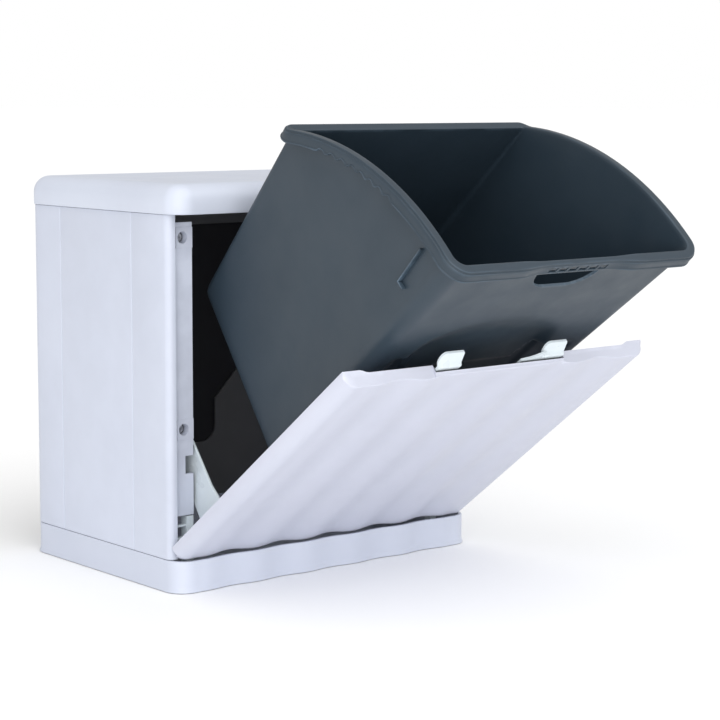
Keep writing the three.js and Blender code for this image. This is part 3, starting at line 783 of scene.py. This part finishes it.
# solids that cut the hand slot and the row of vents above it
def handCutters(s):
    y0, y1 = binFront + s["cutFrom"], binFront + s["cutTo"]
    top, half, tight = binTop - s["slotBelow"], s["slotHalf"], s["slotTight"]
    low, turn = top - s["slotHeight"], s["slotHeight"] * s["slotRound"]
    outlines = [
        arcPoints(half - tight, top - tight, tight, 0, 90, 5)
        + arcPoints(tight - half, top - tight, tight, 90, 180, 5)
        + arcPoints(turn - half, low + turn, turn, 180, 270, 10)
        + arcPoints(half - turn, low + turn, turn, 270, 360, 10)
    ]
    ventLow, ventTop = top + s["ventGap"], top + s["ventGap"] + s["ventHigh"]
    half, slant = s["ventSize"] / 2, s["ventSlant"]
    for i in range(s["vents"]):
        x = (i - (s["vents"] - 1) / 2) * s["ventPitch"]
        foot = [(x - half, ventLow), (x + half, ventLow)]
        outlines.append(foot + [(x + half + slant, ventTop), (x - half + slant, ventTop)])
    cutters = []
    for outline in outlines:
        bm = bmesh.new()
        addPrism(bm, outline, y0, y1)
        cutters.append(toObject("cutter", bm))
    return cutters


def makeBin():
    outer, inner = binSkin(0), binSkin(binSet["wall"])
    rim = rimRows(rimSet, outer[-1], storedOutline(1.0, 1.0, 0))
    bm = bmesh.new()
    # from the floor inside, up the inner wall, over the rim, and down the outer wall
    rows = inner[:-1] + rim + list(reversed(outer[:-1]))
    addSkin(bm, rows, wrapPoints=True, capEnds=True)
    shell = toObject("grey_bin", bm)
    carve(shell, handCutters(handSet))
    shell.data.transform(inMetres(lifted))
    dress(shell, "bin", "lifted_bin", ["bin"], 38)


makeBin()

# a short rib with a foot under the rim, on each side of the bin
ribSet = {"high": (-65, 316), "low": (-69.5, 275), "wall": 1.3, "stand": 4, "foot": 8, "sink": 1.5}


def makeRib(s, side):
    (y1, z1), (y0, z0) = s["high"], s["low"]
    bm = bmesh.new()
    for ends in (((y1, z1), (y0, z0)), ((y0, z0), (y0 - s["foot"], z0 + 1))):
        rows = []
        for y, z in ends:
            reach = (z - binSet["footHeight"]) / (rimHeight(y) - binSet["footHeight"])
            x = binSet["topHalf"] - binSet["taper"] * (1 - reach)
            inner, outer, half = x - s["sink"], x + s["stand"], s["wall"] / 2
            along = Vector((0, ends[1][0] - ends[0][0], ends[1][1] - ends[0][1])).normalized()
            across = Vector((0, along.z, -along.y)) * half
            corners = [(inner, 1), (outer - 0.5, 1), (outer, 0.3)]
            corners += [(px, -k) for px, k in reversed(corners)]
            rows.append([(side * px, y + across.y * k, z + across.z * k) for px, k in corners])
        addSkin(bm, rows, wrapPoints=True, capEnds=True)
    dress(toObject("bin_rib", bm, lifted), "bin", "lifted_bin", ["bin"], 38)


for side in (-1, 1):
    makeRib(ribSet, side)
print("bin made")

# studio
studioSet = {
    "floorSize": 60000, "floorDrop": 0.2, "sky": 0.66,
    "sun": 1.60, "sunAngle": 80, "sunWay": (0.1, 0.8, -1.0),
    "fill": 10.0, "fillSize": (1.6, 0.5), "fillPlace": (-1.2, -1.4, 0.3), "fillWay": (1.1, 1.1, -0.12),
}


def makeStudio(s):
    bm = bmesh.new()
    bmesh.ops.create_circle(bm, cap_ends=True, segments=96, radius=s["floorSize"])
    floor = toObject("studio_floor", bm, Matrix.Translation((0, 0, -s["floorDrop"])))
    material = bpy.data.materials.new("studio floor")
    material.use_nodes = True
    tree = material.node_tree
    shader = tree.nodes["Principled BSDF"]
    place = node(tree, "ShaderNodeTexCoord").outputs["Object"]
    tint = mixColour(tree, noise(tree, place, 3.0), (1, 1, 1, 1), (0.985, 0.985, 0.985, 1))
    tree.links.new(tint, shader.inputs["Base Color"])
    shader.inputs["Roughness"].default_value = 0.9
    shader.inputs["Specular IOR Level"].default_value = 0.1
    floor.data.materials.append(material)
    world = bpy.data.worlds.new("studio")
    bpy.context.scene.world = world
    world.use_nodes = True
    tree = world.node_tree
    sky = tree.nodes["Background"]
    seen = node(tree, "ShaderNodeLightPath").outputs["Is Camera Ray"]
    tree.links.new(spread(tree, seen, 0, 1, s["sky"], 1.0), sky.inputs["Strength"])
    sky.inputs["Color"].default_value = (1, 1, 1, 1)
    sun = bpy.data.lights.new("softSun", "SUN")
    sun.energy = s["sun"]
    sun.angle = math.radians(s["sunAngle"])
    lamp = bpy.data.objects.new("softSun", sun)
    lamp.rotation_euler = Vector(s["sunWay"]).to_track_quat("-Z", "Y").to_euler()
    bpy.context.scene.collection.objects.link(lamp)
    glow = bpy.data.lights.new("lowFill", "AREA")
    glow.shape = "RECTANGLE"
    glow.size, glow.size_y = s["fillSize"]
    glow.energy = s["fill"]
    lamp = bpy.data.objects.new("lowFill", glow)
    lamp.location = s["fillPlace"]
    lamp.rotation_euler = Vector(s["fillWay"]).to_track_quat("-Z", "Y").to_euler()
    bpy.context.scene.collection.objects.link(lamp)
    bpy.context.scene.view_settings.view_transform = "Standard"


makeStudio(studioSet)
print("studio lit")
